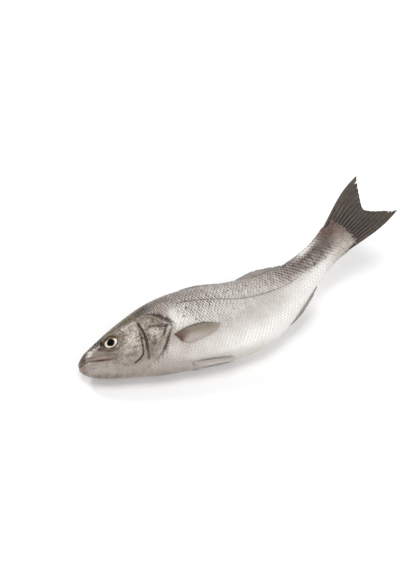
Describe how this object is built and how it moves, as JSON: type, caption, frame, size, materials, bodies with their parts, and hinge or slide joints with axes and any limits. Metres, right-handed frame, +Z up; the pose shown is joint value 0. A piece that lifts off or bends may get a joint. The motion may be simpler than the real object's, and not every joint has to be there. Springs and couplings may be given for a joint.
{
  "type": "whole raw fish",
  "caption": "Whole raw sea bass lying on its right side with its forked tail raised: scaled silver body, eyes, closed mouth and folded fins.",
  "frame": {"origin": "point of the table under the spine, inside the flattened patch of the right flank that the fish lies on", "axes": "+Z up from the table to the left flank, +X from the head to the tail, +Y from the belly to the back"},
  "size_m": [0.3583, 0.1152, 0.0737],
  "materials": {
    "skin": "wet and glossy, silver scales, grey back and creamy white belly",
    "fin": "wet, thin and translucent beige brown, fine rays",
    "tail_fin": "wet, dark grey brown with darker rays",
    "eye": "clear wet dome, black pupil in a pale gold ring"
  },
  "bodies": {
    "root": {"body": "skin", "left_eye": "eye", "right_eye": "eye", "spiny_dorsal_fin": "fin", "soft_dorsal_fin": "fin", "anal_fin": "fin", "tail_fin": "tail_fin", "left_pectoral_fin": "fin", "right_pectoral_fin": "fin", "left_pelvic_fin": "fin", "right_pelvic_fin": "fin"}
  },
  "joints": []
}
